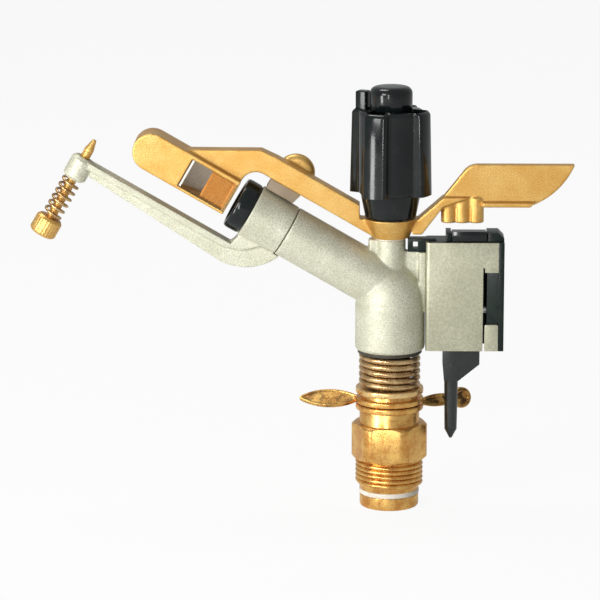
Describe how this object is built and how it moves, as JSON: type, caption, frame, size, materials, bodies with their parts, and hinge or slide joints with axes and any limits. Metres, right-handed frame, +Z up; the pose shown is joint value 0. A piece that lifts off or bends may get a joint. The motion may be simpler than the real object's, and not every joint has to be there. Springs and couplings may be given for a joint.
{
  "type": "sector sprinkler",
  "caption": "Swing-arm sector sprinkler head: threaded brass inlet, cast body with slanted barrel, sprung brass arm, reversing box, adjustable sector stops and jet breaker.",
  "frame": {"origin": "on the swivel axis, at the top of the inlet thread", "axes": "+Z up along the swivel axis, the jet leaves towards -X, the reversing box is towards +X"},
  "size_m": [0.2099, 0.0314, 0.1659],
  "materials": {
    "arm_brass": "satin cast brass",
    "inlet_brass": "turned brass",
    "spring_brass": "drawn bronze wire",
    "cast_alloy": "fettled and tumbled casting",
    "sheet_alloy": "brushed sheet",
    "steel": "bright pin steel",
    "vane_steel": "brushed",
    "black_plastic": "moulded, slightly glossy",
    "frame_plastic": "moulded",
    "pale_plastic": "moulded",
    "bumper_plastic": "moulded"
  },
  "bodies": {
    "base": {"inlet_fitting": "inlet_brass", "bearing_washer": "pale_plastic", "thrust_washer": "inlet_brass"},
    "stop_left": {"stop_left": "inlet_brass"},
    "stop_right": {"stop_right": "inlet_brass"},
    "head": {"bearing_tube": "inlet_brass", "bearing_spring": "spring_brass", "seal_washer": "bumper_plastic", "head_casting": "cast_alloy", "mount_screws": "steel", "straightener": "pale_plastic", "nozzle_washer": "bumper_plastic", "bracket_collar": "cast_alloy", "nozzle": "black_plastic", "fulcrum_pin": "steel", "arm_washer": "pale_plastic", "cap_nut": "black_plastic", "return_spring": "steel", "sector_housing": "sheet_alloy", "mechanism_frame": "frame_plastic", "cover_clip": "sheet_alloy", "lever_pin": "steel", "toggle_spring": "steel", "striker_pin": "steel"},
    "breaker_slide": {"breaker_spring": "spring_brass"},
    "breaker_screw": {"breaker_screw": "arm_brass"},
    "swing": {"swing_arm": "arm_brass", "arm_bush": "pale_plastic", "jet_vane": "vane_steel", "arm_bumper": "bumper_plastic"},
    "cap": {"tension_cap": "black_plastic"},
    "lever": {"trip_lever": "black_plastic"},
    "striker": {"striker": "black_plastic"}
  },
  "joints": [
    {"name": "head_swivel", "type": "hinge", "parent": "base", "child": "head", "pos_m": [0, 0, 0.03], "axis": [0, 0, 1], "range_deg": [-150, 5]},
    {"name": "stop_left_turn", "type": "hinge", "parent": "base", "child": "stop_left", "pos_m": [0, 0, 0.0234], "axis": [0, 0, 1], "range_deg": [-60, 0]},
    {"name": "stop_right_turn", "type": "hinge", "parent": "base", "child": "stop_right", "pos_m": [0, 0, 0.0208], "axis": [0, 0, 1], "range_deg": [0, 60]},
    {"name": "arm_swing", "type": "hinge", "parent": "head", "child": "swing", "pos_m": [0, 0, 0.0915], "axis": [0, 0, 1], "range_deg": [-75, 0], "stiffness_Nm_per_rad": 0.03, "springref_deg": 34.38},
    {"name": "cap_turn", "type": "hinge", "parent": "head", "child": "cap", "pos_m": [0, 0, 0.12], "axis": [0, 0, 1], "range_deg": [0, 270]},
    {"name": "breaker_turn", "type": "hinge", "parent": "breaker_slide", "child": "breaker_screw", "pos_m": [-0.11051, 0, 0.1308], "axis": [0.5, 0, 0.866], "range_deg": [0, 1080.5]},
    {"name": "breaker_feed", "type": "slide", "parent": "head", "child": "breaker_slide", "axis": [0.5, 0, 0.866], "range_m": [0, 0.003], "deforming": ["breaker_spring"]},
    {"name": "trip", "type": "hinge", "parent": "head", "child": "lever", "pos_m": [0.0277, 0, 0.0592], "axis": [1, 0, 0], "range_deg": [-12, 0], "deforming": ["toggle_spring"]},
    {"name": "striker_rock", "type": "hinge", "parent": "head", "child": "striker", "pos_m": [0.0303, 0.00348, 0.0884], "axis": [1, 0, 0], "range_deg": [-20.05, 0]}
  ],
  "couplings": [
    {"joint": "breaker_turn", "follows": "breaker_feed", "rad_per_m": 6283.2},
    {"joint": "striker_rock", "follows": "trip", "ratio": 1.6667}
  ]
}
